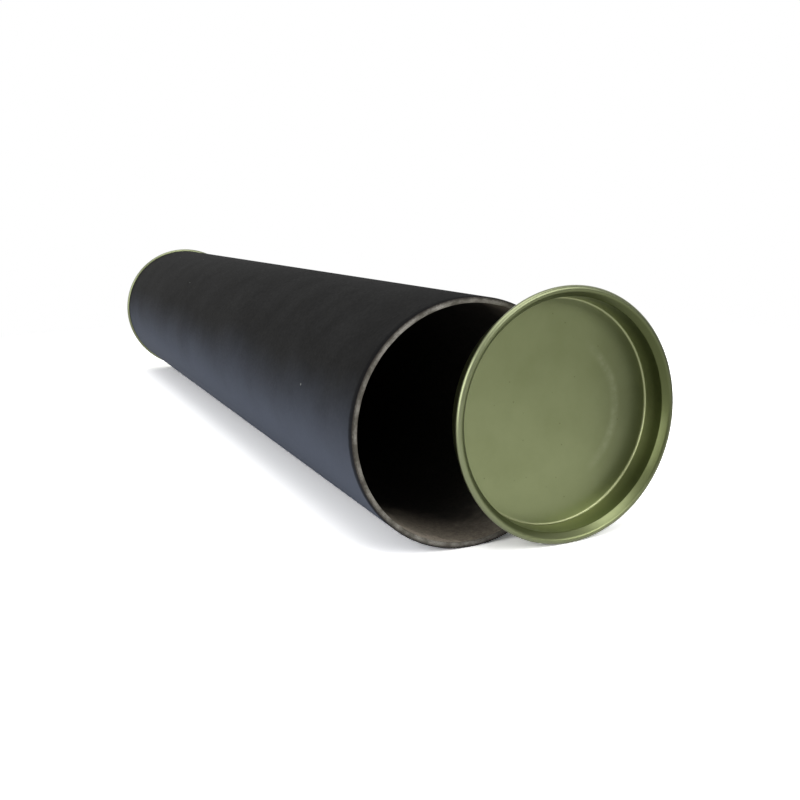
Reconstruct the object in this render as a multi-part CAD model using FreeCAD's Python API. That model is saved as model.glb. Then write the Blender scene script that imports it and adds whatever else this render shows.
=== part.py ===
import FreeCAD, Part
import math
import os

# A round cardboard mailing tube lying on a table, with a pressed metal plug lid at each end.
# The rear lid is pushed home. The front lid has been pulled off: it stands on its own rim in
# front of the open mouth, a little to one side, and leans its plug on the cut edge of the board.
#
# Millimetres. +Z is up, and the tube runs along +Y from its open mouth to its closed end.
# The origin is on the table, under the middle of the whole group.

# Wound board tube
bore_radius = 38.1
tube_wall = 2.0
tube_length = 418.0
edge_rounding = 0.4
bore_bevel = 0.3

# Pressed metal lid
sheet = 0.3
plug_depth = 7.9
plug_draft_deg = 3.0
plug_clearance = 0.05
plug_corner_radius = 0.8
throat_radius = 0.6
rim_bead_radius = 1.2
rim_overhang = 1.2
curl_tuck_deg = 50.0

# How the loose front lid stands
front_lid_shift = 30.1
front_lid_lean_deg = 1.5
front_lid_turn_deg = 1.1
lean_gap = 0.1

tube_radius = bore_radius + tube_wall
rim_radius = tube_radius + rim_overhang
bead_centre_radius = rim_radius - rim_bead_radius

X_AXIS = FreeCAD.Vector(1, 0, 0)
Y_AXIS = FreeCAD.Vector(0, 1, 0)
Z_AXIS = FreeCAD.Vector(0, 0, 1)
CENTRE = FreeCAD.Vector(0, 0, 0)


def section_point(radius, along):
    """A point of a turned section: its distance from the axis, and its place along +Y."""
    return FreeCAD.Vector(radius, along, 0)


def turned(edges):
    """The solid that a closed section makes when it turns once round the Y axis."""
    face = Part.Face(Part.Wire(edges))
    return face.revolve(CENTRE, Y_AXIS, 360)


def line(start, end):
    return Part.LineSegment(start, end).toShape()


def arc(start, middle, end):
    return Part.Arc(start, middle, end).toShape()


def rounded_corner(along, inwards):
    """The outer corner of a cut end: start on the end face, middle and end on the outside."""
    diagonal = edge_rounding * (1 - math.sqrt(0.5))
    on_face = section_point(tube_radius - edge_rounding, along)
    middle = section_point(tube_radius - diagonal, along + inwards * diagonal)
    on_side = section_point(tube_radius, along + inwards * edge_rounding)
    return on_face, middle, on_side


def make_tube():
    """One wound board wall, with its cut ends rounded outside and lightly bevelled inside."""
    mouth_face, mouth_middle, mouth_side = rounded_corner(0, 1)
    rear_face, rear_middle, rear_side = rounded_corner(tube_length, -1)
    mouth_bevel = section_point(bore_radius + bore_bevel, 0)
    rear_bevel = section_point(bore_radius + bore_bevel, tube_length)
    mouth_bore = section_point(bore_radius, bore_bevel)
    rear_bore = section_point(bore_radius, tube_length - bore_bevel)
    return turned([
        line(mouth_bore, mouth_bevel),
        line(mouth_bevel, mouth_face),
        arc(mouth_face, mouth_middle, mouth_side),
        line(mouth_side, rear_side),
        arc(rear_side, rear_middle, rear_face),
        line(rear_face, rear_bevel),
        line(rear_bevel, rear_bore),
        line(rear_bore, mouth_bore),
    ])


def bend_point(centre, radius, degrees):
    """A point of a bend. At 0 degrees it lies outwards, at 90 towards the plug's back, at -90 in front."""
    angle = math.radians(degrees)
    return section_point(centre.x + radius * math.cos(angle), centre.y + radius * math.sin(angle))


def bend(centre, radius, first_deg, last_deg):
    """An arc of the sheet round one bend centre."""
    middle_deg = (first_deg + last_deg) / 2
    return arc(
        bend_point(centre, radius, first_deg),
        bend_point(centre, radius, middle_deg),
        bend_point(centre, radius, last_deg),
    )


def lid_bends():
    """The three bends of the sheet's middle line, and the direction of the flare between two of them.

    The lid's axis is Y. Its rim rests on the plane y = 0, and its plug reaches into +Y.
    """
    draft = math.radians(plug_draft_deg)
    throat_wall_radius = bore_radius - plug_clearance - sheet / 2
    throat = section_point(
        throat_wall_radius + throat_radius * math.cos(draft),
        throat_radius * math.sin(draft),
    )
    bead = section_point(bead_centre_radius, -rim_bead_radius)

    panel_middle = plug_depth - sheet / 2
    corner_along = panel_middle - plug_corner_radius
    wall_run = corner_along + plug_corner_radius * math.sin(draft)
    corner = section_point(
        throat_wall_radius - wall_run * math.tan(draft) - plug_corner_radius * math.cos(draft),
        corner_along,
    )

    # The flare is the straight line that touches both the throat bend and the rolled bead.
    reach = bead - throat
    bead_middle_radius = rim_bead_radius - sheet / 2
    lead = math.acos((bead_middle_radius - throat_radius) / reach.Length)
    flare_deg = math.degrees(math.atan2(reach.y, reach.x) + lead)
    return corner, throat, bead, flare_deg


def lid_skin(offset):
    """One face of the bent sheet, from the middle of the panel to the tucked edge of the curl.

    The offset is measured from the sheet's middle line: positive towards the plug's back.
    """
    corner, throat, bead, flare_deg = lid_bends()
    corner_radius = plug_corner_radius + offset
    throat_bend_radius = throat_radius - offset
    bead_bend_radius = rim_bead_radius - sheet / 2 - offset

    panel_centre = section_point(0, corner.y + corner_radius)
    panel_edge = bend_point(corner, corner_radius, 90)
    wall_foot = bend_point(corner, corner_radius, plug_draft_deg)
    wall_top = bend_point(throat, throat_bend_radius, 180 + plug_draft_deg)
    flare_foot = bend_point(throat, throat_bend_radius, 180 + flare_deg)
    flare_top = bend_point(bead, bead_bend_radius, 180 + flare_deg)
    curl_end_deg = 360 + 90 + curl_tuck_deg
    return [
        line(panel_centre, panel_edge),
        bend(corner, corner_radius, 90, plug_draft_deg),
        line(wall_foot, wall_top),
        bend(throat, throat_bend_radius, 180 + plug_draft_deg, 180 + flare_deg),
        line(flare_foot, flare_top),
        bend(bead, bead_bend_radius, 180 + flare_deg, curl_end_deg),
    ], panel_centre, bend_point(bead, bead_bend_radius, curl_end_deg)


def make_lid():
    """One round of sheet metal: recessed panel, tapered plug wall, flared throat and rolled rim."""
    front_edges, front_centre, front_end = lid_skin(-sheet / 2)
    back_edges, back_centre, back_end = lid_skin(sheet / 2)
    curl_edge = line(front_end, back_end)
    centre_line = line(back_centre, front_centre)
    return turned(front_edges + [curl_edge] + back_edges[::-1] + [centre_line])


def lying_tilt_deg():
    """How far the tube's closed end is lifted by the lid's rim, which stands out beyond the board.

    The tube rests on two round corners, the mouth's edge and the rear bead, and both touch the table.
    """
    between = tube_length + rim_bead_radius - edge_rounding
    inset = tube_radius - edge_rounding - bead_centre_radius
    step = rim_bead_radius - edge_rounding
    return math.degrees(math.asin(step / math.hypot(between, inset)) - math.atan2(inset, between))


def lay_on_table(shape):
    """Tilts a piece of the closed tube and lifts it until the mouth's lower edge is at height 0."""
    tilt = math.radians(lying_tilt_deg())
    corner_radius = tube_radius - edge_rounding
    lift = corner_radius * math.cos(tilt) - edge_rounding * math.sin(tilt) + edge_rounding
    shape.rotate(CENTRE, X_AXIS, lying_tilt_deg())
    shape.translate(FreeCAD.Vector(0, 0, lift))
    return lift


def place_rear_lid(lid):
    """Turns the lid's plug into the closed end, with its rim on the cut edge."""
    lid.rotate(CENTRE, Z_AXIS, 180)
    lid.translate(FreeCAD.Vector(0, tube_length, 0))


def place_front_lid(lid, mouth_height):
    """Stands the loose lid on its rim beside the mouth and leans its plug's back on the cut edge."""
    lean = math.radians(front_lid_lean_deg)
    turn = math.radians(front_lid_turn_deg)
    tilt = math.radians(lying_tilt_deg())
    lid.rotate(CENTRE, X_AXIS, -front_lid_lean_deg)
    lid.rotate(CENTRE, Z_AXIS, front_lid_turn_deg)

    plug_way = FreeCAD.Vector(
        -math.sin(turn) * math.cos(lean),
        math.cos(turn) * math.cos(lean),
        -math.sin(lean),
    )
    mouth_way = FreeCAD.Vector(0, math.cos(tilt), math.sin(tilt))
    cosine = plug_way.dot(mouth_way)
    edge_dip = tube_radius * math.sqrt(1 - cosine * cosine)

    # The bead's centre circle stands so high that its lowest point is one bead radius above the table.
    bead_height = bead_centre_radius * math.cos(lean) + rim_bead_radius
    seat_height = bead_height + rim_bead_radius * plug_way.z

    # The nearest point of the cut edge lies lean_gap behind the plane of the plug's back.
    reach = plug_depth + lean_gap + edge_dip
    sideways = plug_way.x * -front_lid_shift
    upwards = plug_way.z * (mouth_height - seat_height)
    forward = (reach - sideways - upwards) / plug_way.y
    lid.translate(FreeCAD.Vector(front_lid_shift, -forward, seat_height))


def centre_on_table(shapes):
    """Moves the whole group so that the origin is at the bottom centre of its box."""
    box = Part.makeCompound(list(shapes.values())).optimalBoundingBox(False, False)
    shift = FreeCAD.Vector(-box.Center.x, -box.Center.y, -box.ZMin)
    for shape in shapes.values():
        shape.translate(shift)
    return shift


def build():
    shapes = {
        "tube": make_tube(),
        "rear_lid": make_lid(),
        "front_lid": make_lid(),
    }
    place_rear_lid(shapes["rear_lid"])
    mouth_height = lay_on_table(shapes["tube"])
    lay_on_table(shapes["rear_lid"])
    place_front_lid(shapes["front_lid"], mouth_height)
    shift = centre_on_table(shapes)
    return shapes, shift, mouth_height


os.makedirs("parts", exist_ok=True)
shapes, shift, mouth_height = build()
for node, shape in shapes.items():
    shape.exportStep(f"parts/{node}.step")
    print(node, "valid", shape.isValid(), "volume", round(shape.Volume, 1), "mm3")
print("tilt of the lying tube", round(lying_tilt_deg(), 4), "degrees")
print("mouth centre", round(shift.x, 4), round(shift.y, 4), round(mouth_height + shift.z, 4))
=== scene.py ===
# %% [markdown]
# # A black cardboard mailing tube with pressed metal lids
#
# The tube lies on a table with its open mouth towards us. A round lid of thin sheet metal closes
# its far end. The lid of the mouth has been pulled off. It stands on its own rim in front of the
# mouth and leans on the cut edge of the board.
#
# The exact solids are loaded first. They fix every size and every place, and nothing moves them.
# The pieces made here are finer and carry the paper, the board and the lacquer.

# %% Load the exact solids
import bmesh
import bpy
import math
from mathutils import Matrix, Vector


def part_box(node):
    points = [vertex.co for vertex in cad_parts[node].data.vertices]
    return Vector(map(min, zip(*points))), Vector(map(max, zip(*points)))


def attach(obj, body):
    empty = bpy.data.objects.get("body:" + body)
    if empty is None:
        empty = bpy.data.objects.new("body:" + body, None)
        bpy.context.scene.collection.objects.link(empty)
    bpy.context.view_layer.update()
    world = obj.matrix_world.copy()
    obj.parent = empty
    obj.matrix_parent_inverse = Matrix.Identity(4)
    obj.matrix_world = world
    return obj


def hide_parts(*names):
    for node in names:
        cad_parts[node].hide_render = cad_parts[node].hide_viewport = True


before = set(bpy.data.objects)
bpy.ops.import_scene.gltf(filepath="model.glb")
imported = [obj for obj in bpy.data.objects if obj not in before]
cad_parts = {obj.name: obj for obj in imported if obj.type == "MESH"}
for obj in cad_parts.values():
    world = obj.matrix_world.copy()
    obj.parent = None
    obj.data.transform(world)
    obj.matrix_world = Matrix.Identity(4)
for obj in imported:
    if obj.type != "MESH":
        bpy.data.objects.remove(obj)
for leftover in ("Cube", "Camera", "Light"):
    if leftover in bpy.data.objects:
        bpy.data.objects.remove(bpy.data.objects[leftover])
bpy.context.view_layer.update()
bpy.ops.object.select_all(action="DESELECT")

# %% [markdown]
# ## Working in edit mode
#
# Blender counts in metres and the sizes of the object are known in millimetres, so each length is
# written in millimetres and multiplied by MM. An operator works on what is selected. Three helpers
# do what a hand does in the window: the first selects one piece alone, the second opens it in edit
# mode with nothing selected, and the third selects the edges that lie in a certain place.

# %% Helpers for edit mode
MM = 0.001


def make_active(piece):
    """Selects one piece alone, so that the next operator works on it."""
    bpy.ops.object.select_all(action="DESELECT")
    piece.select_set(True)
    bpy.context.view_layer.objects.active = piece


def open_piece(piece):
    """Opens a piece in edit mode with nothing selected."""
    make_active(piece)
    bpy.ops.object.mode_set(mode="EDIT")
    bpy.ops.mesh.select_all(action="DESELECT")


def pick_edges(piece, wanted):
    """Selects the edges whose two ends are both wanted, and says how many."""
    bpy.ops.mesh.select_mode(type="EDGE")
    bpy.ops.mesh.select_all(action="DESELECT")
    mesh = bmesh.from_edit_mesh(piece.data)
    found = 0
    for edge in mesh.edges:
        if all(wanted(vert.co) for vert in edge.verts):
            edge.select_set(True)
            found += 1
    mesh.select_flush_mode()
    bmesh.update_edit_mesh(piece.data)
    return found


def from_axis(point):
    """A point's distance from the Y axis, in millimetres."""
    return math.hypot(point.x, point.z) / MM


def along(point):
    """A point's place along the Y axis, in millimetres."""
    return point.y / MM


# %% [markdown]
# ## The board tube
#
# The real tube is made of paper plies wound round a steel bar and cut to length with a disc
# knife, so it is one even wall with two cut ends. A cylinder given a thickness is the plainest
# way to make it. The knife leaves a slightly soft outer corner, where the black wrap rolls over,
# and a small broken edge inside. Both are bevels on edges that are picked by their place.

# %% Roll the wall
bore_radius = 38.1
tube_wall = 2.0
tube_length = 418.0
tube_radius = bore_radius + tube_wall
turn_steps = 256

bpy.ops.mesh.primitive_cylinder_add(
    vertices=turn_steps,
    radius=tube_radius * MM,
    depth=tube_length * MM,
    end_fill_type="NOTHING",
    location=(0, tube_length / 2 * MM, 0),
    rotation=(math.pi / 2, 0, 0),
)
tube = bpy.context.object
tube.name = "wound_board_tube"
bpy.ops.object.transform_apply(location=True, rotation=True, scale=True)
wall = tube.modifiers.new("wall", "SOLIDIFY")
wall.thickness = tube_wall * MM
wall.offset = -1
wall.use_even_offset = True
bpy.ops.object.modifier_apply(modifier="wall")
print("rolled wall", len(tube.data.polygons), "faces")

# %% Soften the cut ends
edge_rounding = 0.4
bore_bevel = 0.3
hair = 0.02  # slack for picking an edge by its place

open_piece(tube)
for end in (0, tube_length):
    outer = pick_edges(
        tube,
        lambda p: abs(along(p) - end) < hair and from_axis(p) > tube_radius - hair,
    )
    bpy.ops.mesh.bevel(offset=edge_rounding * MM, segments=5, profile=0.5, affect="EDGES")
    inner = pick_edges(
        tube,
        lambda p: abs(along(p) - end) < hair and from_axis(p) < bore_radius + hair,
    )
    bpy.ops.mesh.bevel(offset=bore_bevel * MM, segments=2, profile=0.5, affect="EDGES")
    print("softened", outer, "outer and", inner, "inner edges at", end)
bpy.ops.object.mode_set(mode="OBJECT")

# %% [markdown]
# ## The pressed lid
#
# Both lids come from the same press tool: a flat disc of sheet metal is drawn into a shallow
# plug, its edge is flared outwards and then rolled into a round bead that grips the board. The
# sheet has one thickness everywhere, so only its middle line has to be drawn. It starts as a
# ring at the edge of the flat panel. Extruding that ring again and again, with a new radius and
# a new depth each time, follows the bends of the sheet. Solidify then gives it its thickness.

# %% Sizes of the lid
sheet = 0.3
plug_depth = 7.9
plug_draft_deg = 3.0
plug_clearance = 0.05
plug_corner_radius = 0.8
throat_radius = 0.6
rim_bead_radius = 1.2
rim_overhang = 1.2
curl_tuck_deg = 50.0

draft = math.radians(plug_draft_deg)
bead_middle_radius = rim_bead_radius - sheet / 2
throat_wall_radius = bore_radius - plug_clearance - sheet / 2
throat = Vector((
    throat_wall_radius + throat_radius * math.cos(draft),
    throat_radius * math.sin(draft),
))
bead = Vector((tube_radius + rim_overhang - rim_bead_radius, -rim_bead_radius))
corner_along = plug_depth - sheet / 2 - plug_corner_radius
wall_run = corner_along + plug_corner_radius * math.sin(draft)
corner = Vector((
    throat_wall_radius - wall_run * math.tan(draft) - plug_corner_radius * math.cos(draft),
    corner_along,
))

# The flare is the straight line that touches both the throat bend and the rolled bead.
reach = bead - throat
lead = math.acos((bead_middle_radius - throat_radius) / reach.length)
flare_deg = math.degrees(math.atan2(reach.y, reach.x) + lead)
print("panel radius", round(corner.x, 2), "flare", round(flare_deg, 1), "degrees")

# %% Helpers that follow a bend


def bend_points(centre, radius, first_deg, last_deg, steps):
    """Points of a bend as (radius, along).

    0 degrees lies outwards, and 90 lies towards the plug's back.
    """
    points = []
    for step in range(steps + 1):
        angle = math.radians(first_deg + (last_deg - first_deg) * step / steps)
        points.append(centre + radius * Vector((math.cos(angle), math.sin(angle))))
    return points


def pull_ring(start, end):
    """Extrudes the selected ring of edges from one section point to the next."""
    bpy.ops.mesh.extrude_region_move(
        TRANSFORM_OT_translate={"value": (0, (end.y - start.y) * MM, 0)}
    )
    growth = end.x / start.x
    bpy.ops.transform.resize(value=(growth, 1, growth), center_override=(0, end.y * MM, 0))


# %% Draw the sheet ring by ring
panel_edge = Vector((corner.x, corner.y + plug_corner_radius))
bpy.ops.mesh.primitive_circle_add(
    vertices=turn_steps,
    radius=panel_edge.x * MM,
    fill_type="NOTHING",
    location=(0, panel_edge.y * MM, 0),
    rotation=(math.pi / 2, 0, 0),
)
front_lid = bpy.context.object
front_lid.name = "loose_front_lid"
bpy.ops.object.transform_apply(location=True, rotation=True, scale=True)
open_piece(front_lid)

# Rings across the flat panel, as shares of its radius, with a small hole that is merged shut.
panel_rings = (0.96, 0.84, 0.7, 0.56, 0.42, 0.28, 0.14, 0.04)
pick_edges(front_lid, lambda p: True)
here = panel_edge
for share in panel_rings:
    there = Vector((panel_edge.x * share, panel_edge.y))
    pull_ring(here, there)
    here = there
bpy.ops.mesh.merge(type="CENTER")

section = bend_points(corner, plug_corner_radius, 90, plug_draft_deg, 8)
section += bend_points(throat, throat_radius, 180 + plug_draft_deg, 180 + flare_deg, 6)
section += bend_points(bead, bead_middle_radius, 180 + flare_deg, 450 + curl_tuck_deg, 30)
pick_edges(front_lid, lambda p: from_axis(p) > panel_edge.x - hair)
here = panel_edge
for there in section[1:]:
    pull_ring(here, there)
    here = there
bpy.ops.mesh.select_all(action="SELECT")
bpy.ops.mesh.remove_doubles(threshold=0.001 * MM)
bpy.ops.mesh.normals_make_consistent(inside=False)
bpy.ops.object.mode_set(mode="OBJECT")
print("sheet drawn with", len(front_lid.data.vertices), "points")

# %% Give the sheet its thickness
gauge = front_lid.modifiers.new("gauge", "SOLIDIFY")
gauge.thickness = sheet * MM
gauge.offset = 0
gauge.use_even_offset = True
bpy.ops.object.modifier_apply(modifier="gauge")
bpy.ops.object.shade_smooth_by_angle(angle=math.radians(40))

# Each point keeps its place on the pressed lid, so a finish can follow the lid wherever it goes.
pressed = front_lid.data.attributes.new("as_pressed", "FLOAT_VECTOR", "POINT")
for index, vert in enumerate(front_lid.data.vertices):
    pressed.data[index].vector = vert.co / MM
print("lid has", len(front_lid.data.polygons), "faces")

# %% [markdown]
# ## Putting the pieces in their places
#
# The lid's rim stands out beyond the board, so the closed tube lies on that rim at its far end
# and on the mouth's lower edge here. That lifts the far end by a sixth of a degree. The loose
# lid leans back by a degree and a half. Each piece is turned first, and then moved until the
# middle of its box is where the middle of the exact solid's box is.

# %% Helpers for placing
lying_tilt_deg = 0.1642
front_lid_lean_deg = 1.5
front_lid_turn_deg = 1.1


def turn_piece(piece, x_deg, z_deg):
    """Turns a piece about the origin and writes the turn into its mesh."""
    make_active(piece)
    piece.rotation_euler = (math.radians(x_deg), 0, math.radians(z_deg))
    bpy.ops.object.transform_apply(location=False, rotation=True, scale=False)


def box_of(piece):
    """Lowest and highest corner of a piece's mesh."""
    places = [vert.co for vert in piece.data.vertices]
    low = Vector([min(place[side] for place in places) for side in range(3)])
    high = Vector([max(place[side] for place in places) for side in range(3)])
    return low, high


def seat(piece, node):
    """Moves a turned piece to where the exact solid is, and stands in for that solid."""
    low, high = box_of(piece)
    node_low, node_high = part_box(node)
    piece.location = (node_low + node_high - low - high) / 2
    bpy.ops.object.transform_apply(location=True, rotation=False, scale=False)
    spare = ((high - low) - (node_high - node_low)) / MM
    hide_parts(node)
    print(piece.name, "differs from", node, "by", [round(side, 3) for side in spare], "mm")


# %% Place the tube and both lids
rear_lid = front_lid.copy()
rear_lid.data = front_lid.data.copy()
rear_lid.name = "fitted_rear_lid"
bpy.context.scene.collection.objects.link(rear_lid)

turn_piece(tube, lying_tilt_deg, 0)
seat(tube, "tube")
turn_piece(rear_lid, 0, 180)
turn_piece(rear_lid, lying_tilt_deg, 0)
seat(rear_lid, "rear_lid")
turn_piece(front_lid, -front_lid_lean_deg, front_lid_turn_deg)
seat(front_lid, "front_lid")

# %% [markdown]
# ## A knife cut is never quite even
#
# The disc knife tears the soft board a little, so the rim of the open mouth wavers by a tenth of
# a millimetre. A Displace modifier with cloud noise does that to the points of the mouth alone,
# and only inwards, so the tube gets no longer. Moving points one by one would do it too, but the
# modifier keeps it soft and even all round.

# %% Waver the cut of the mouth
CUT_WAVER, WAVER_LENGTH = 0.22, 3.5
mouth_front = box_of(tube)[0].y
band_back = mouth_front + 1.5 * edge_rounding * MM
cut_band = tube.vertex_groups.new(name="cut_band")
cut_points = [vert.index for vert in tube.data.vertices if vert.co.y < band_back]
cut_band.add(cut_points, 1.0, "REPLACE")
torn_cut = bpy.data.textures.new("torn_cut", "CLOUDS")
torn_cut.noise_scale = WAVER_LENGTH * MM
torn_cut.noise_depth = 2
waver = tube.modifiers.new("waver", "DISPLACE")
waver.texture = torn_cut
waver.texture_coords = "LOCAL"
waver.vertex_group = "cut_band"
waver.direction = "Y"
waver.mid_level = 0.0
waver.strength = CUT_WAVER * MM
make_active(tube)
bpy.ops.object.modifier_apply(modifier="waver")
tube.vertex_groups.clear()
set_back = min(tube.data.vertices[index].co.y for index in cut_points) - mouth_front
print("wavered", len(cut_points), "points, the mouth's front is", round(set_back / MM, 3), "mm in")

# %% What each piece rides on
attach(tube, "tube")
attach(front_lid, "tube")
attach(rear_lid, "rear_lid")

# %% [markdown]
# ## Colours and nodes
#
# A colour is written as the sRGB hex value that a colour picker shows. The shader works with
# linear light, so one function turns the hex value into linear numbers. Another small function
# adds a node, sets it up and links it, so that a material reads as a short list of steps.

# %% Helpers for materials


def colour(hex_code):
    """An sRGB hex colour as the linear values that a shader uses."""
    linear = []
    for start in (1, 3, 5):
        share = int(hex_code[start:start + 2], 16) / 255
        linear.append(share / 12.92 if share <= 0.04045 else ((share + 0.055) / 1.055) ** 2.4)
    return (*linear, 1.0)


def add_node(tree, kind, values=None, links=None, **settings):
    """Adds a node: settings are its options, values fill its inputs and links feed them."""
    added = tree.nodes.new(kind)
    for name, setting in settings.items():
        setattr(added, name, setting)
    for socket, value in (values or {}).items():
        added.inputs[socket].default_value = value
    for socket, source in (links or {}).items():
        tree.links.new(source, added.inputs[socket])
    return added


def new_material(name):
    """An empty material with its shader linked to the output."""
    material = bpy.data.materials.new(name)
    material.use_nodes = True
    tree = material.node_tree
    tree.nodes.clear()
    shader = add_node(tree, "ShaderNodeBsdfPrincipled")
    add_node(tree, "ShaderNodeOutputMaterial", links={"Surface": shader.outputs["BSDF"]})
    return material, tree, shader


# %% Where a point lies on the tube
lying_tilt = math.radians(lying_tilt_deg)
mouth = Vector((-15.0578, -204.0098, 40.0987)) * MM
tube_way = Vector((0, math.cos(lying_tilt), math.sin(lying_tilt)))
ROUND_ONLY = (1, 0, 1)


def place_on_tube(tree):
    """Millimetres from the middle of the mouth, with Y along the tube."""
    here = add_node(tree, "ShaderNodeTexCoord")
    on_tube = add_node(
        tree,
        "ShaderNodeMapping",
        {"Location": mouth, "Rotation": (lying_tilt, 0, 0), "Scale": (MM, MM, MM)},
        {"Vector": here.outputs["Object"]},
        vector_type="TEXTURE",
    )
    return on_tube.outputs["Vector"]


def off_axis(tree, place):
    """How far a place is from the Y axis."""
    across = add_node(
        tree, "ShaderNodeVectorMath", {1: ROUND_ONLY}, {0: place}, operation="MULTIPLY"
    )
    length = add_node(
        tree, "ShaderNodeVectorMath", links={0: across.outputs["Vector"]}, operation="LENGTH"
    )
    return length.outputs["Value"]


def from_cut_end(tree, place):
    """How far a place on the tube is from the nearer cut end."""
    axes = add_node(tree, "ShaderNodeSeparateXYZ", links={"Vector": place})
    to_rear = add_node(
        tree, "ShaderNodeMath", {0: tube_length}, {1: axes.outputs["Y"]}, operation="SUBTRACT"
    )
    to_end = add_node(
        tree,
        "ShaderNodeMath",
        links={0: axes.outputs["Y"], 1: to_rear.outputs["Value"]},
        operation="MINIMUM",
    )
    return to_end.outputs["Value"]


# %% [markdown]
# ## Matt black wrapping paper
#
# The outermost ply is uncoated paper, dyed black right through and glued down smooth. It gives
# the eye a soft charcoal with almost no shine. Four things keep it from looking like plastic:
# faint clouds a few centimetres wide, where the pulp is denser, a fine felt of fibres, a paler,
# blue-grey lower side, which is a painted reflection of the lit table, and some specks of pale
# dust. Fibres are half a millimetre long, and are drawn at 1.2 mm so that they show. Near a cut
# end the paper is darker.
#
# An image of paper would need a seam somewhere on a round tube. Noise in space has none.

# %% Black paper: clouds and fibres
CLOUD, FIBRE = 26, 1.2
paper, tree, shader = new_material("matt_black_wrapping_paper")
place = place_on_tube(tree)

clouds = add_node(
    tree,
    "ShaderNodeTexNoise",
    {"Scale": 1 / CLOUD, "Detail": 3, "Roughness": 0.6},
    {"Vector": place},
)
cloudiness = add_node(
    tree, "ShaderNodeMapRange", {"From Min": 0.32, "From Max": 0.68}, {"Value": clouds.outputs[0]}
)
pulp = add_node(
    tree,
    "ShaderNodeMix",
    {6: colour("#191919"), 7: colour("#232323")},
    {0: cloudiness.outputs["Result"]},
    data_type="RGBA",
)
fibres = add_node(
    tree,
    "ShaderNodeTexNoise",
    {"Scale": 1 / FIBRE, "Detail": 4, "Roughness": 0.75},
    {"Vector": place},
)
felt = add_node(
    tree,
    "ShaderNodeMapRange",
    {"From Min": 0.3, "From Max": 0.7, "To Min": 0.0, "To Max": 0.5},
    {"Value": fibres.outputs[0]},
)
felted = add_node(
    tree,
    "ShaderNodeMix",
    {7: colour("#131312")},
    {0: felt.outputs["Result"], 6: pulp.outputs[2]},
    data_type="RGBA",
)
print("pulp with clouds", CLOUD, "mm wide and fibres of", FIBRE, "mm")

# %% Black paper: a painted reflection on its lower side
REFLECTION_BLOTCH, REFLECTION_WANDER = 30, 12
REFLECTED_BELOW, UNREFLECTED_ABOVE = -16, 20  # heights from the tube's axis
axes = add_node(tree, "ShaderNodeSeparateXYZ", links={"Vector": place})
reflection_noise = add_node(
    tree,
    "ShaderNodeTexNoise",
    {"Scale": 1 / REFLECTION_BLOTCH, "Detail": 4, "Roughness": 0.55},
    {"Vector": place},
)
reflection_wander = add_node(
    tree,
    "ShaderNodeMath",
    {1: REFLECTION_WANDER, 2: -REFLECTION_WANDER / 2},
    {0: reflection_noise.outputs[0]},
    operation="MULTIPLY_ADD",
)
reflection_edge = add_node(
    tree,
    "ShaderNodeMath",
    links={0: axes.outputs["Z"], 1: reflection_wander.outputs[0]},
    operation="ADD",
)
painted_reflection = add_node(
    tree,
    "ShaderNodeMapRange",
    {"From Min": REFLECTED_BELOW, "From Max": UNREFLECTED_ABOVE, "To Min": 0.95, "To Max": 0.0},
    {"Value": reflection_edge.outputs[0]},
    interpolation_type="SMOOTHSTEP",
)
# painted reflection of the lit table: below the axis the black turns a paler blue-grey
reflected = add_node(
    tree,
    "ShaderNodeMix",
    {7: colour("#484d58")},
    {0: painted_reflection.outputs["Result"], 6: felted.outputs[2]},
    data_type="RGBA",
)
print("scuffed below", REFLECTED_BELOW, "mm, clean above", UNREFLECTED_ABOVE, "mm from the axis")

# %% Black paper: specks of dust
SPECK_GAP = 17
dust = add_node(
    tree, "ShaderNodeTexVoronoi", {"Scale": 1 / SPECK_GAP, "Randomness": 1}, {"Vector": place}
)
speck = add_node(
    tree,
    "ShaderNodeMapRange",
    {"From Min": 0.018, "From Max": 0.028, "To Min": 0.6, "To Max": 0.0},
    {"Value": dust.outputs["Distance"]},
)
dusted = add_node(
    tree,
    "ShaderNodeMix",
    {7: colour("#8d8e8c")},
    {0: speck.outputs["Result"], 6: reflected.outputs[2]},
    data_type="RGBA",
)
print("one speck in about", SPECK_GAP, "mm")

# %% Black paper: darker near the cut ends
RAG, RAG_REACH = 1.6, 0.9
DARK_TO, EVEN_FROM = 1.4, 3.2
ragged = add_node(
    tree,
    "ShaderNodeTexNoise",
    {"Scale": 1 / RAG, "Detail": 3, "Roughness": 0.7},
    {"Vector": place},
)
edge_reach = add_node(
    tree,
    "ShaderNodeMath",
    {1: RAG_REACH, 2: -RAG_REACH / 2},
    {0: ragged.outputs[0]},
    operation="MULTIPLY_ADD",
)
edge_place = add_node(
    tree,
    "ShaderNodeMath",
    links={0: from_cut_end(tree, place), 1: edge_reach.outputs[0]},
    operation="ADD",
)
# the paper is darker within a few millimetres of each cut end
darker_near_cut = add_node(
    tree,
    "ShaderNodeMapRange",
    {"From Min": DARK_TO, "From Max": EVEN_FROM, "To Min": 0.85, "To Max": 0.0},
    {"Value": edge_place.outputs[0]},
    interpolation_type="SMOOTHSTEP",
)
edged = add_node(
    tree,
    "ShaderNodeMix",
    {7: colour("#0c0c0d")},
    {0: darker_near_cut.outputs["Result"], 6: dusted.outputs[2]},
    data_type="RGBA",
)
tree.links.new(edged.outputs[2], shader.inputs["Base Color"])
print("pressed dark for", DARK_TO, "mm from a cut")

# %% Black paper: its matt, felted surface
FELT_DEPTH = 0.05
nap = add_node(
    tree,
    "ShaderNodeMapRange",
    {"From Min": 0.3, "From Max": 0.7, "To Min": 0.78, "To Max": 0.95},
    {"Value": fibres.outputs[0]},
)
tree.links.new(nap.outputs["Result"], shader.inputs["Roughness"])
shader.inputs["Specular IOR Level"].default_value = 0.05
tooth = add_node(
    tree,
    "ShaderNodeBump",
    {"Strength": 0.35, "Distance": FELT_DEPTH * MM},
    {"Height": fibres.outputs[0]},
)
tree.links.new(tooth.outputs["Normal"], shader.inputs["Normal"])
print(paper.name, "has", len(tree.nodes), "nodes")
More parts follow.
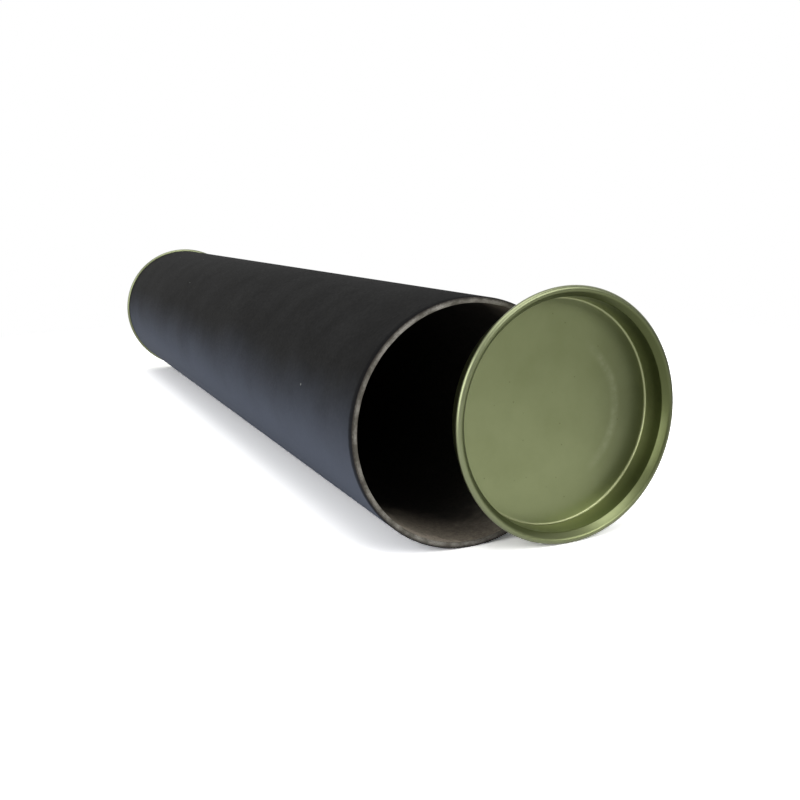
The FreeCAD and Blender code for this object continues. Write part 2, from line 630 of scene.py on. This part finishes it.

# %% [markdown]
# ## Cut edge of the grey board
#
# The wall is five plies of recycled grey board, each 0.4 mm thick. The disc knife cuts across
# them, so the edge shows fine rings with dark glue lines between them, a torn woolly surface
# and browner patches where glue has soaked in. One stretch, towards the upper left, is paler.
# Rings are worked out from the distance to the tube's axis. Modelling the plies as separate
# sheets would give the same few rings at a high cost.

# %% Grey board: rings of plies
PLY, PLY_WANDER, TEAR = 0.4, 0.9, 0.7
board, tree, shader = new_material("cut_grey_board")
place = place_on_tube(tree)
torn = add_node(
    tree,
    "ShaderNodeTexNoise",
    {"Scale": 1 / TEAR, "Detail": 4, "Roughness": 0.75},
    {"Vector": place},
)
wander = add_node(
    tree,
    "ShaderNodeMath",
    {1: PLY_WANDER, 2: -PLY_WANDER / 2},
    {0: torn.outputs[0]},
    operation="MULTIPLY_ADD",
)
ring_place = add_node(
    tree,
    "ShaderNodeMath",
    links={0: off_axis(tree, place), 1: wander.outputs[0]},
    operation="ADD",
)
ply_wave = add_node(
    tree,
    "ShaderNodeMath",
    {1: 2 * math.pi / PLY},
    {0: ring_place.outputs[0]},
    operation="MULTIPLY",
)
ply_line = add_node(tree, "ShaderNodeMath", links={0: ply_wave.outputs[0]}, operation="SINE")
glue = add_node(
    tree,
    "ShaderNodeMapRange",
    {"From Min": 0.0, "From Max": 1.0, "To Min": 0.0, "To Max": 0.7},
    {"Value": ply_line.outputs[0]},
)
print("rings", PLY, "mm apart")

# %% Grey board: glue-soaked patches and a paler stretch
SOAK = 5
PALE_WAY = (-0.5, 0, 0.87)
PALE_FROM, PALE_FULL = 35.0, 39.0
soaked = add_node(
    tree,
    "ShaderNodeTexNoise",
    {"Scale": 1 / SOAK, "Detail": 3, "Roughness": 0.6},
    {"Vector": place},
)
soaking = add_node(
    tree,
    "ShaderNodeMapRange",
    {"From Min": 0.42, "From Max": 0.6, "To Min": 0.0, "To Max": 0.9},
    {"Value": soaked.outputs[0]},
)
# one stretch of the cut, towards the upper left, is paler
towards_pale = add_node(
    tree, "ShaderNodeVectorMath", {1: PALE_WAY}, {0: place}, operation="DOT_PRODUCT"
)
paler_stretch = add_node(
    tree,
    "ShaderNodeMapRange",
    {"From Min": PALE_FROM, "From Max": PALE_FULL, "To Min": 0.0, "To Max": 0.7},
    {"Value": towards_pale.outputs["Value"]},
    interpolation_type="SMOOTHSTEP",
)
bare = add_node(
    tree,
    "ShaderNodeMix",
    {6: colour("#7c7972"), 7: colour("#9b9891")},
    {0: paler_stretch.outputs["Result"]},
    data_type="RGBA",
)
pulp = add_node(
    tree,
    "ShaderNodeMix",
    {7: colour("#4a4740")},
    {0: soaking.outputs["Result"], 6: bare.outputs[2]},
    data_type="RGBA",
)
lined = add_node(
    tree,
    "ShaderNodeMix",
    {7: colour("#3f3c35")},
    {0: glue.outputs["Result"], 6: pulp.outputs[2]},
    data_type="RGBA",
)
print("patches", SOAK, "mm wide")

# %% Grey board: torn black fibres at its outer edge
FRAYED_FROM, BLACK_FROM, TUFT = tube_radius - 1.15, tube_radius - 0.3, 0.15
wrap_reach = add_node(
    tree,
    "ShaderNodeMapRange",
    {"From Min": FRAYED_FROM, "From Max": BLACK_FROM},
    {"Value": ring_place.outputs[0]},
)
frayed = add_node(
    tree,
    "ShaderNodeMix",
    {7: colour("#272421")},
    {0: wrap_reach.outputs["Result"], 6: lined.outputs[2]},
    data_type="RGBA",
)
tree.links.new(frayed.outputs[2], shader.inputs["Base Color"])
shader.inputs["Roughness"].default_value = 0.95
shader.inputs["Specular IOR Level"].default_value = 0.2
tufts = add_node(
    tree,
    "ShaderNodeBump",
    {"Strength": 0.8, "Distance": TUFT * MM},
    {"Height": torn.outputs[0]},
)
tree.links.new(tufts.outputs["Normal"], shader.inputs["Normal"])
print(board.name, "has", len(tree.nodes), "nodes")

# %% [markdown]
# ## Grey-brown liner
#
# The innermost ply is plain dark grey-brown board. Rolled sheets slide over it, so it stays bare,
# and right at the mouth it is pale and woolly from the cut and from use. Painted light and shade
# do the rest: it is pale where light falls in at the mouth and dark deeper inside, where the bore
# is in shade, and a painted shadow of the loose lid lets the pale zone reach further in on its
# left than on its right. Soft blotches of recycled pulp and short fibres give it its look.

# %% Liner: how far in the painted light reaches
BLOTCH, BLOTCH_REACH = 8, 24
LIT_SIDE, SHADED_SIDE = -14, 10
liner, tree, shader = new_material("grey_brown_liner_board")
place = place_on_tube(tree)
blotches = add_node(
    tree,
    "ShaderNodeTexNoise",
    {"Scale": 1 / BLOTCH, "Detail": 5, "Roughness": 0.65},
    {"Vector": place},
)
shift_in = add_node(
    tree,
    "ShaderNodeMath",
    {1: BLOTCH_REACH, 2: -BLOTCH_REACH / 2},
    {0: blotches.outputs[0]},
    operation="MULTIPLY_ADD",
)
axes = add_node(tree, "ShaderNodeSeparateXYZ", links={"Vector": place})
# painted shadow of the loose lid: the dark sets in sooner on the right and later on the left
lid_shadow_shift = add_node(
    tree,
    "ShaderNodeMapRange",
    {"From Min": LIT_SIDE, "From Max": SHADED_SIDE, "To Min": -6, "To Max": 15},
    {"Value": axes.outputs["X"]},
    interpolation_type="SMOOTHSTEP",
)
blotched = add_node(
    tree,
    "ShaderNodeMath",
    links={0: from_cut_end(tree, place), 1: shift_in.outputs[0]},
    operation="ADD",
)
depth = add_node(
    tree,
    "ShaderNodeMath",
    links={0: blotched.outputs[0], 1: lid_shadow_shift.outputs["Result"]},
    operation="ADD",
)
print("blotches", BLOTCH, "mm wide")

# %% Liner: painted light at the mouth and painted shade inside
PALE_TO, DARK_FROM = 8, 42
WOOLLY_TO, SMOOTH_FROM = 0.3, 2.5
painted_bore_shade = add_node(
    tree,
    "ShaderNodeMapRange",
    {"From Min": PALE_TO, "From Max": DARK_FROM},
    {"Value": depth.outputs[0]},
    interpolation_type="SMOOTHSTEP",
)
# painted light and shade: pale where light falls in at the mouth, near black in the shade deeper
# in
bare = add_node(
    tree,
    "ShaderNodeMix",
    {6: colour("#7e766a"), 7: colour("#1d1b19")},
    {0: painted_bore_shade.outputs["Result"]},
    data_type="RGBA",
)
woolly = add_node(
    tree,
    "ShaderNodeMapRange",
    {"From Min": WOOLLY_TO, "From Max": SMOOTH_FROM, "To Min": 0.8, "To Max": 0.0},
    {"Value": depth.outputs[0]},
    interpolation_type="SMOOTHSTEP",
)
rubbed = add_node(
    tree,
    "ShaderNodeMix",
    {7: colour("#958c7f")},
    {0: woolly.outputs["Result"], 6: bare.outputs[2]},
    data_type="RGBA",
)
print("pale for", PALE_TO, "mm, dark from", DARK_FROM, "mm in")

# %% Liner: short fibres on a dull surface
HAIR, HAIR_DEPTH = 1.1, 0.08
hairs = add_node(
    tree,
    "ShaderNodeTexNoise",
    {"Scale": 1 / HAIR, "Detail": 3, "Roughness": 0.7},
    {"Vector": place},
)
hairiness = add_node(
    tree,
    "ShaderNodeMapRange",
    {"From Min": 0.35, "From Max": 0.7, "To Min": 0.0, "To Max": 0.5},
    {"Value": hairs.outputs[0]},
)
haired = add_node(
    tree,
    "ShaderNodeMix",
    {7: colour("#332f2a")},
    {0: hairiness.outputs["Result"], 6: rubbed.outputs[2]},
    data_type="RGBA",
)
tree.links.new(haired.outputs[2], shader.inputs["Base Color"])
shader.inputs["Roughness"].default_value = 0.9
shader.inputs["Specular IOR Level"].default_value = 0.2
nap = add_node(
    tree,
    "ShaderNodeBump",
    {"Strength": 0.5, "Distance": HAIR_DEPTH * MM},
    {"Height": hairs.outputs[0]},
)
tree.links.new(nap.outputs["Normal"], shader.inputs["Normal"])
print(liner.name, "has", len(tree.nodes), "nodes")

# %% [markdown]
# ## Olive-gold lacquered tinplate
#
# The lids are pressed from tinplate that was roller-coated with a clear olive-gold lacquer and
# baked. To the eye this is a metal, tinted by the lacquer and softened to a satin: reflections
# are broad, and inside the recess, where light bounces twice, the olive turns deep. The clear
# coat adds its own pale, sharper glints. The press stretches the lacquer thin on the rolled rim,
# so it is greyer there. Painted shade darkens one side of the panel and the plug wall, a painted
# highlight runs along the corner, and a faint pale ring on the panel is a painted caustic: light
# thrown back from the plug wall.
#
# Patterns read the places that each point had on the pressed lid, so they turn with the lid.

# %% Lacquer: satin metal with the clouds of the oven
BAKE = 14
lacquer, tree, shader = new_material("olive_gold_lacquered_tinplate")
shader.inputs["Metallic"].default_value = 1.0
shader.inputs["Coat Weight"].default_value = 0.15
shader.inputs["Coat Roughness"].default_value = 0.16
on_lid = add_node(tree, "ShaderNodeAttribute", attribute_name="as_pressed")
place = on_lid.outputs["Vector"]
spread = off_axis(tree, place)
baked = add_node(
    tree,
    "ShaderNodeTexNoise",
    {"Scale": 1 / BAKE, "Detail": 3, "Roughness": 0.55},
    {"Vector": place},
)
baking = add_node(
    tree, "ShaderNodeMapRange", {"From Min": 0.3, "From Max": 0.7}, {"Value": baked.outputs[0]}
)
satin = add_node(
    tree,
    "ShaderNodeMix",
    {6: colour("#7a815b"), 7: colour("#818862")},
    {0: baking.outputs["Result"]},
    data_type="RGBA",
)
print("clouds of the oven", BAKE, "mm wide")

# %% Lacquer: painted shade on one side of the panel
SHADE_SIDE_FROM, SHADE_SIDE_FULL = 10, 36
axes = add_node(tree, "ShaderNodeSeparateXYZ", links={"Vector": place})
# painted shade: the panel darkens towards one side
panel_shade = add_node(
    tree,
    "ShaderNodeMapRange",
    {"From Min": SHADE_SIDE_FROM, "From Max": SHADE_SIDE_FULL, "To Min": 0.0, "To Max": 0.55},
    {"Value": axes.outputs["X"]},
    interpolation_type="SMOOTHSTEP",
)
panel_shaded = add_node(
    tree,
    "ShaderNodeMix",
    {7: colour("#4b4f36")},
    {0: panel_shade.outputs["Result"], 6: satin.outputs[2]},
    data_type="RGBA",
)
print("thicker from", SHADE_SIDE_FROM, "mm off the middle")

# %% Lacquer: a painted caustic ring on the panel
CAUSTIC_RADIUS, RING_CORE, RING_HAZE, STREAK_SIZE = 24.4, 0.2, 2.4, 3
RING_START, RING_FULL = 11, 20  # the ring shows on one side only
off_ring = add_node(
    tree, "ShaderNodeMath", {1: CAUSTIC_RADIUS}, {0: spread}, operation="SUBTRACT"
)
ring_gap = add_node(tree, "ShaderNodeMath", links={0: off_ring.outputs[0]}, operation="ABSOLUTE")
ring_line = add_node(
    tree,
    "ShaderNodeMapRange",
    {"From Min": RING_CORE, "From Max": RING_HAZE, "To Min": 1.0, "To Max": 0.0},
    {"Value": ring_gap.outputs[0]},
    interpolation_type="SMOOTHSTEP",
)
ring_side = add_node(
    tree,
    "ShaderNodeMapRange",
    {"From Min": RING_START, "From Max": RING_FULL, "To Min": 0.0, "To Max": 0.3},
    {"Value": axes.outputs["X"]},
    interpolation_type="SMOOTHSTEP",
)
streaks = add_node(
    tree,
    "ShaderNodeTexNoise",
    {"Scale": 1 / STREAK_SIZE, "Detail": 4, "Roughness": 0.7},
    {"Vector": place},
)
streaking = add_node(
    tree,
    "ShaderNodeMapRange",
    {"From Min": 0.4, "From Max": 0.64, "To Min": 0.35, "To Max": 1.0},
    {"Value": streaks.outputs[0]},
)
ring_strength = add_node(
    tree,
    "ShaderNodeMath",
    links={0: ring_side.outputs["Result"], 1: streaking.outputs["Result"]},
    operation="MULTIPLY",
)
ring = add_node(
    tree,
    "ShaderNodeMath",
    links={0: ring_line.outputs["Result"], 1: ring_strength.outputs[0]},
    operation="MULTIPLY",
)
# painted caustic: a pale arc on one side of the panel, broken into streaks
ringed = add_node(
    tree,
    "ShaderNodeMix",
    {7: colour("#a3a888")},
    {0: ring.outputs[0], 6: panel_shaded.outputs[2]},
    data_type="RGBA",
)
print("ring of radius", CAUSTIC_RADIUS, "mm")

# %% Lacquer: small pits
PIT_GAP = 4.5
pits = add_node(
    tree, "ShaderNodeTexVoronoi", {"Scale": 1 / PIT_GAP, "Randomness": 1}, {"Vector": place}
)
pit = add_node(
    tree,
    "ShaderNodeMapRange",
    {"From Min": 0.03, "From Max": 0.07, "To Min": 0.45, "To Max": 0.0},
    {"Value": pits.outputs["Distance"]},
)
pitted = add_node(
    tree,
    "ShaderNodeMix",
    {7: colour("#4d5136")},
    {0: pit.outputs["Result"], 6: ringed.outputs[2]},
    data_type="RGBA",
)
print("one pit in about", PIT_GAP, "mm")

# %% Lacquer: painted shade on the plug wall
PANEL_EDGE = 36.8
WALL_FROM, WALL_FULL = PANEL_EDGE + 0.55, PANEL_EDGE + 0.8
WALL_TO, WALL_GONE = bore_radius + 1.1, bore_radius + 2.3
SHADE_WAY, SHADE_FROM, SHADE_FULL = (0.89, 0, 0.45), -4, 30
wall_start = add_node(
    tree,
    "ShaderNodeMapRange",
    {"From Min": WALL_FROM, "From Max": WALL_FULL},
    {"Value": spread},
)
wall_end = add_node(
    tree,
    "ShaderNodeMapRange",
    {"From Min": WALL_TO, "From Max": WALL_GONE, "To Min": 1.0, "To Max": 0.0},
    {"Value": spread},
)
wall_band = add_node(
    tree,
    "ShaderNodeMath",
    links={0: wall_start.outputs["Result"], 1: wall_end.outputs["Result"]},
    operation="MULTIPLY",
)
towards_shade = add_node(
    tree, "ShaderNodeVectorMath", {1: SHADE_WAY}, {0: place}, operation="DOT_PRODUCT"
)
wall_run = add_node(
    tree,
    "ShaderNodeMapRange",
    {"From Min": SHADE_FROM, "From Max": SHADE_FULL, "To Min": 0.32, "To Max": 0.85},
    {"Value": towards_shade.outputs["Value"]},
    interpolation_type="SMOOTHSTEP",
)
painted_wall_shade = add_node(
    tree,
    "ShaderNodeMath",
    links={0: wall_band.outputs[0], 1: wall_run.outputs["Result"]},
    operation="MULTIPLY",
)
# painted shade: the plug wall in the recess is darker, most of all towards one side
wall_shaded = add_node(
    tree,
    "ShaderNodeMix",
    {7: colour("#444a2a")},
    {0: painted_wall_shade.outputs[0], 6: pitted.outputs[2]},
    data_type="RGBA",
)
print("pooled from radius", WALL_FROM, "to", WALL_TO, "mm")

# %% Lacquer: a painted highlight in the corner
CORNER, CORNER_CORE, CORNER_EDGE = PANEL_EDGE + 0.25, 0.2, 0.65
off_corner = add_node(tree, "ShaderNodeMath", {1: CORNER}, {0: spread}, operation="SUBTRACT")
corner_gap = add_node(
    tree, "ShaderNodeMath", links={0: off_corner.outputs[0]}, operation="ABSOLUTE"
)
painted_corner_highlight = add_node(
    tree,
    "ShaderNodeMapRange",
    {"From Min": CORNER_CORE, "From Max": CORNER_EDGE, "To Min": 0.6, "To Max": 0.0},
    {"Value": corner_gap.outputs[0]},
    interpolation_type="SMOOTHSTEP",
)
# painted highlight: a pale line where the panel bends into the plug wall
cornered = add_node(
    tree,
    "ShaderNodeMix",
    {7: colour("#9a9e78")},
    {0: painted_corner_highlight.outputs["Result"], 6: wall_shaded.outputs[2]},
    data_type="RGBA",
)
print("corner line at radius", CORNER, "mm")

# %% Lacquer: thin on the rolled rim
FULL_TO, THIN_FROM = tube_radius - 0.5, tube_radius + 0.5
thinning = add_node(
    tree,
    "ShaderNodeMapRange",
    {"From Min": FULL_TO, "From Max": THIN_FROM, "To Min": 0.0, "To Max": 0.75},
    {"Value": spread},
    interpolation_type="SMOOTHSTEP",
)
rimmed = add_node(
    tree,
    "ShaderNodeMix",
    {7: colour("#787d62")},
    {0: thinning.outputs["Result"], 6: cornered.outputs[2]},
    data_type="RGBA",
)
tree.links.new(rimmed.outputs[2], shader.inputs["Base Color"])
print("thin from radius", THIN_FROM, "mm")

# %% Lacquer: its satin surface, smoother where the sheet was drawn
PEEL, PEEL_DEPTH = 1.5, 0.02
DRAWN_FROM, DRAWN_FULL = PANEL_EDGE + 0.3, PANEL_EDGE + 1.0
peel = add_node(
    tree,
    "ShaderNodeTexNoise",
    {"Scale": 1 / PEEL, "Detail": 3, "Roughness": 0.6},
    {"Vector": place},
)
sheen = add_node(
    tree,
    "ShaderNodeMapRange",
    {"From Min": 0.3, "From Max": 0.7, "To Min": 0.37, "To Max": 0.43},
    {"Value": peel.outputs[0]},
)
drawn = add_node(
    tree,
    "ShaderNodeMapRange",
    {"From Min": DRAWN_FROM, "From Max": DRAWN_FULL, "To Min": 1.0, "To Max": 0.85},
    {"Value": spread},
)
gloss = add_node(
    tree,
    "ShaderNodeMath",
    links={0: sheen.outputs["Result"], 1: drawn.outputs["Result"]},
    operation="MULTIPLY",
)
tree.links.new(gloss.outputs[0], shader.inputs["Roughness"])
skin = add_node(
    tree,
    "ShaderNodeBump",
    {"Strength": 0.15, "Distance": PEEL_DEPTH * MM},
    {"Height": peel.outputs[0]},
)
tree.links.new(skin.outputs["Normal"], shader.inputs["Normal"])
tree.links.new(skin.outputs["Normal"], shader.inputs["Coat Normal"])
print(lacquer.name, "has", len(tree.nodes), "nodes")

# %% [markdown]
# ## Each face gets its finish
#
# The tube is one piece with three finishes. Its faces are told apart by their distance from the
# tube's axis and from its ends: outside is wrap, the cut ends are board and the inside is liner.

# %% Give each face its material
for finish in (paper, board, liner):
    tube.data.materials.append(finish)
for lid in (front_lid, rear_lid):
    lid.data.materials.append(lacquer)

WRAP, CUT, INSIDE = range(3)
WRAP_DEPTH = 0.17  # of the rounded outer corner, this much is still wrap
counts = [0, 0, 0]
for face in tube.data.polygons:
    reach_in = (face.center - mouth).dot(tube_way)
    off_centre = (face.center - mouth - tube_way * reach_in).length / MM
    from_end = min(reach_in / MM, tube_length - reach_in / MM)
    if off_centre > tube_radius - WRAP_DEPTH:
        face.material_index = WRAP
    elif from_end < bore_bevel + CUT_WAVER:
        face.material_index = CUT
    else:
        face.material_index = INSIDE
    counts[face.material_index] += 1
make_active(tube)
bpy.ops.object.shade_smooth_by_angle(angle=math.radians(35))
print("faces of wrap, cut board and liner", counts)

# %% [markdown]
# ## Table, lights and camera
#
# The tube lies on a sheet of white paper in a white room. The table has to show the soft shadow
# under the tube and still run into a pure white background. So near the tube the camera sees a
# lit white surface, and further off it fades to plain white. What lights the object is an ordinary
# white table. Mirrors, such as the lacquered metal, see the white room too. A bare white room
# would leave a satin metal flat and pale, so for mirrors one corner of it is a soft grey.

# %% The soft corner of the room
PURE_WHITE = (1, 1, 1, 1)
DIM_WAY, DIM_LEVEL = (0.59, -0.81, 0), 0.3


def dim_corner(tree, way):
    """How bright the room is to a mirror: white, and a soft grey in the corner at front right."""
    turned_to = add_node(
        tree, "ShaderNodeVectorMath", {1: DIM_WAY}, {0: way}, operation="DOT_PRODUCT"
    )
    brightness = add_node(
        tree,
        "ShaderNodeMapRange",
        {"From Min": 0.2, "From Max": 0.95, "To Min": 1.0, "To Max": DIM_LEVEL},
        {"Value": turned_to.outputs["Value"]},
        interpolation_type="SMOOTHSTEP",
    )
    return brightness.outputs["Result"]


def goes_to_mirrors(tree, path):
    """1 for a ray that a mirror or glass sends on, and 0 for any other ray."""
    mirrored = add_node(
        tree,
        "ShaderNodeMath",
        links={0: path.outputs["Is Glossy Ray"], 1: path.outputs["Is Transmission Ray"]},
        operation="ADD",
        use_clamp=True,
    )
    return mirrored.outputs[0]


# %% Table top and what the camera sees of it
LIT_TO, PLAIN_FROM = 0.24, 0.5  # metres from the middle of the table
LIT_PAPER = 1.8  # brighter than real paper, so that only the shadow on it is grey
bpy.ops.mesh.primitive_plane_add(size=30, location=(0, 0, 0))
table = bpy.context.object
table.name = "table_top"
white = bpy.data.materials.new("white_table_paper")
white.use_nodes = True
tree = white.node_tree
tree.nodes.clear()
path = add_node(tree, "ShaderNodeLightPath")
here = add_node(tree, "ShaderNodeTexCoord")
far = add_node(
    tree, "ShaderNodeVectorMath", links={0: here.outputs["Object"]}, operation="LENGTH"
)
fade = add_node(
    tree,
    "ShaderNodeMapRange",
    {"From Min": LIT_TO, "From Max": PLAIN_FROM},
    {"Value": far.outputs["Value"]},
    interpolation_type="SMOOTHSTEP",
)
near_white = add_node(
    tree, "ShaderNodeBsdfDiffuse", {"Color": (LIT_PAPER, LIT_PAPER, LIT_PAPER, 1)}
)
far_white = add_node(tree, "ShaderNodeEmission", {"Color": PURE_WHITE, "Strength": 1.0})
seen = add_node(
    tree,
    "ShaderNodeMixShader",
    links={0: fade.outputs["Result"], 1: near_white.outputs[0], 2: far_white.outputs[0]},
)
print("table lit for", LIT_TO, "m and plain white from", PLAIN_FROM, "m")

# %% Table: what the object and its mirrors see of it
SHEET_MIDDLE, SHEET_TO, ROOM_FROM = (-0.25, -0.4, 0), 0.3, 0.6
plain = add_node(tree, "ShaderNodeBsdfDiffuse", {"Color": colour("#f0f0f0")})
sheet_edge = add_node(
    tree,
    "ShaderNodeVectorMath",
    {1: SHEET_MIDDLE},
    {0: here.outputs["Object"]},
    operation="DISTANCE",
)
off_sheet = add_node(
    tree,
    "ShaderNodeMapRange",
    {"From Min": SHEET_TO, "From Max": ROOM_FROM},
    {"Value": sheet_edge.outputs["Value"]},
    interpolation_type="SMOOTHSTEP",
)
floor_way = add_node(
    tree, "ShaderNodeVectorMath", links={0: here.outputs["Object"]}, operation="NORMALIZE"
)
dim_white = add_node(
    tree,
    "ShaderNodeEmission",
    {"Color": PURE_WHITE},
    {"Strength": dim_corner(tree, floor_way.outputs["Vector"])},
)
in_mirrors = add_node(
    tree,
    "ShaderNodeMixShader",
    links={0: off_sheet.outputs["Result"], 1: plain.outputs[0], 2: dim_white.outputs[0]},
)
unseen = add_node(
    tree,
    "ShaderNodeMixShader",
    links={0: goes_to_mirrors(tree, path), 1: plain.outputs[0], 2: in_mirrors.outputs[0]},
)
mixed = add_node(
    tree,
    "ShaderNodeMixShader",
    links={0: path.outputs["Is Camera Ray"], 1: unseen.outputs[0], 2: seen.outputs[0]},
)
add_node(tree, "ShaderNodeOutputMaterial", links={"Surface": mixed.outputs[0]})
table.data.materials.append(white)
print(white.name, "has", len(tree.nodes), "nodes")

# %% Room
ROOM_LIGHT = 0.55
world = bpy.data.worlds.new("studio_room")
bpy.context.scene.world = world
world.use_nodes = True
tree = world.node_tree
tree.nodes.clear()
path = add_node(tree, "ShaderNodeLightPath")
here = add_node(tree, "ShaderNodeTexCoord")
room_light = add_node(
    tree, "ShaderNodeBackground", {"Color": PURE_WHITE, "Strength": ROOM_LIGHT}
)
room_seen = add_node(
    tree,
    "ShaderNodeBackground",
    {"Color": PURE_WHITE},
    {"Strength": dim_corner(tree, here.outputs["Generated"])},
)
backdrop = add_node(tree, "ShaderNodeBackground", {"Color": PURE_WHITE, "Strength": 1.0})
in_mirrors = add_node(
    tree,
    "ShaderNodeMixShader",
    links={0: goes_to_mirrors(tree, path), 1: room_light.outputs[0], 2: room_seen.outputs[0]},
)
mixed = add_node(
    tree,
    "ShaderNodeMixShader",
    links={0: path.outputs["Is Camera Ray"], 1: in_mirrors.outputs[0], 2: backdrop.outputs[0]},
)
add_node(tree, "ShaderNodeOutputWorld", links={"Surface": mixed.outputs[0]})
print("room light", ROOM_LIGHT)

# %% Softboxes


def add_softbox(name, place, aim, size, power):
    """A square lamp that looks at a point."""
    lamp = bpy.data.lights.new(name, "AREA")
    lamp.shape = "SQUARE"
    lamp.size = size
    lamp.energy = power
    holder = bpy.data.objects.new(name, lamp)
    holder.location = place
    holder.rotation_euler = (Vector(aim) - Vector(place)).to_track_quat("-Z", "Y").to_euler()
    bpy.context.scene.collection.objects.link(holder)
    print(name, size, "m wide,", power, "W")


middle = (0, -0.1, 0.04)
add_softbox("overhead_softbox", (-0.1, -0.45, 1.8), middle, 1.4, 16)
add_softbox("front_softbox", (0.6, -1.45, 0.8), middle, 1.0, 12)
add_softbox("left_window", (-1.6, -0.7, 0.6), middle, 1.3, 20)

# %% [markdown]
# ## Camera
#
# The photo was taken from close by, low and from the left, so the far end looks much smaller than
# the mouth. The camera's place, its three angles and its focal length were found by fitting the
# tube's and the lid's outlines to the photo. They are written here as plain numbers.

# %% Camera
SENSOR, PHOTO_WIDTH_PX, FOCAL_PX = 36, 800, 924.99
CAMERA_PLACE = (-150.82, -450.76, 106.26)
HEADING_DEG, RAISE_DEG, ROLL_DEG = 24.361, -11.596, -1.319
camera_data = bpy.data.cameras.new("camera")
camera_data.sensor_width = SENSOR
camera_data.lens = FOCAL_PX / PHOTO_WIDTH_PX * SENSOR
camera = bpy.data.objects.new("camera", camera_data)
bpy.context.scene.collection.objects.link(camera)
bpy.context.scene.camera = camera
heading, rise, roll = (math.radians(angle) for angle in (HEADING_DEG, RAISE_DEG, ROLL_DEG))
forward = Vector((
    math.sin(heading) * math.cos(rise),
    math.cos(heading) * math.cos(rise),
    math.sin(rise),
))
level_right = Vector((math.cos(heading), -math.sin(heading), 0))
level_up = level_right.cross(forward)
right = level_right * math.cos(roll) + level_up * math.sin(roll)
up = level_up * math.cos(roll) - level_right * math.sin(roll)
camera.location = Vector(CAMERA_PLACE) * MM
camera.rotation_euler = Matrix((right, up, -forward)).transposed().to_euler()
camera_data.clip_start = 0.01
bpy.context.scene.view_settings.view_transform = "Standard"
print("lens", round(camera_data.lens, 2), "mm")
